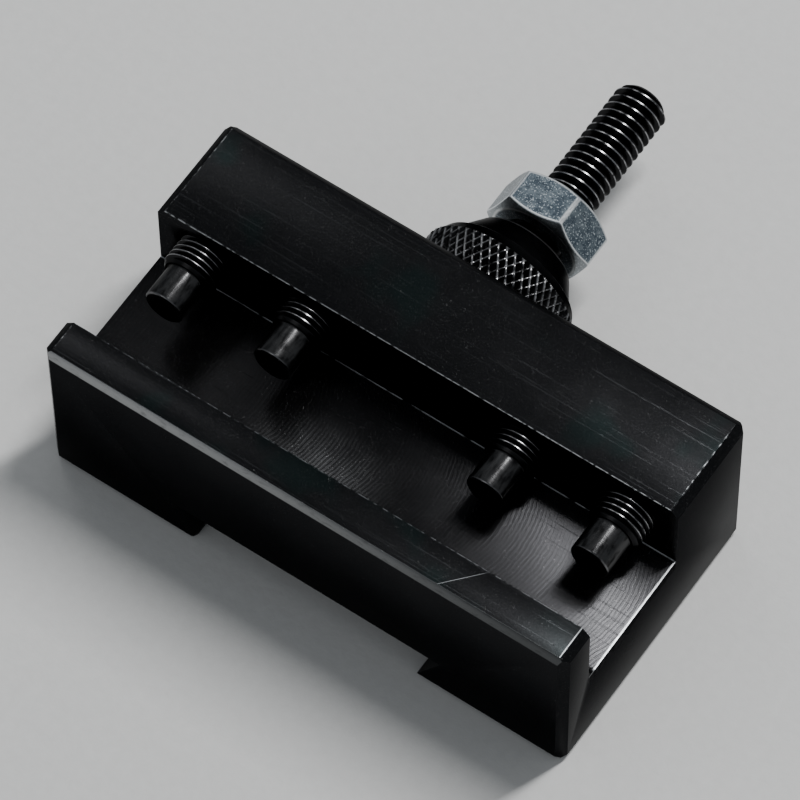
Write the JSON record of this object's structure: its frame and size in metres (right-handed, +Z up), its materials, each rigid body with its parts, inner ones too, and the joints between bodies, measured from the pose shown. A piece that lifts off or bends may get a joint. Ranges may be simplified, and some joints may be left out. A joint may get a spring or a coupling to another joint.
{
  "type": "quick change tool holder",
  "caption": "Dovetail tool holder block with an open tool slot, dog-point clamping screws, and a height stud with a knurled thumb wheel and hex jam nut.",
  "frame": {"origin": "centre of the dovetail socket's mouth, in the plane of the block's dovetail side", "axes": "+X along the tool slot, +Y along the height stud towards its tip, +Z up out of the tool slot"},
  "size_m": [0.0616, 0.0633, 0.0214],
  "materials": {
    "body_black": "black oxide, ground and milled",
    "screw_black": "black oxide, machined thread",
    "stud_black": "black oxide, machined thread",
    "wheel_black": "black oxide, diamond knurl",
    "nut_zinc": "bright zinc plate"
  },
  "bodies": {
    "holder": {"holder_body": "body_black", "height_stud": "stud_black"},
    "screw_1": {"set_screw_1": "screw_black"},
    "screw_2": {"set_screw_2": "screw_black"},
    "screw_3": {"set_screw_3": "screw_black"},
    "screw_4": {"set_screw_4": "screw_black"},
    "wheel": {"thumb_wheel": "wheel_black"},
    "nut": {"jam_nut": "nut_zinc"}
  },
  "joints": [
    {"name": "screw_1_feed", "type": "slide", "parent": "holder", "child": "screw_1", "axis": [0, -1, 0], "range_m": [-0.006, 0.005]},
    {"name": "screw_2_feed", "type": "slide", "parent": "holder", "child": "screw_2", "axis": [0, -1, 0], "range_m": [-0.006, 0.005]},
    {"name": "screw_3_feed", "type": "slide", "parent": "holder", "child": "screw_3", "axis": [0, -1, 0], "range_m": [-0.006, 0.005]},
    {"name": "screw_4_feed", "type": "slide", "parent": "holder", "child": "screw_4", "axis": [0, -1, 0], "range_m": [-0.006, 0.005]},
    {"name": "wheel_height", "type": "slide", "parent": "holder", "child": "wheel", "axis": [0, 1, 0], "range_m": [-0.0004, 0.013]},
    {"name": "nut_lock", "type": "slide", "parent": "wheel", "child": "nut", "axis": [0, 1, 0], "range_m": [-0.0015, 0.001]}
  ]
}
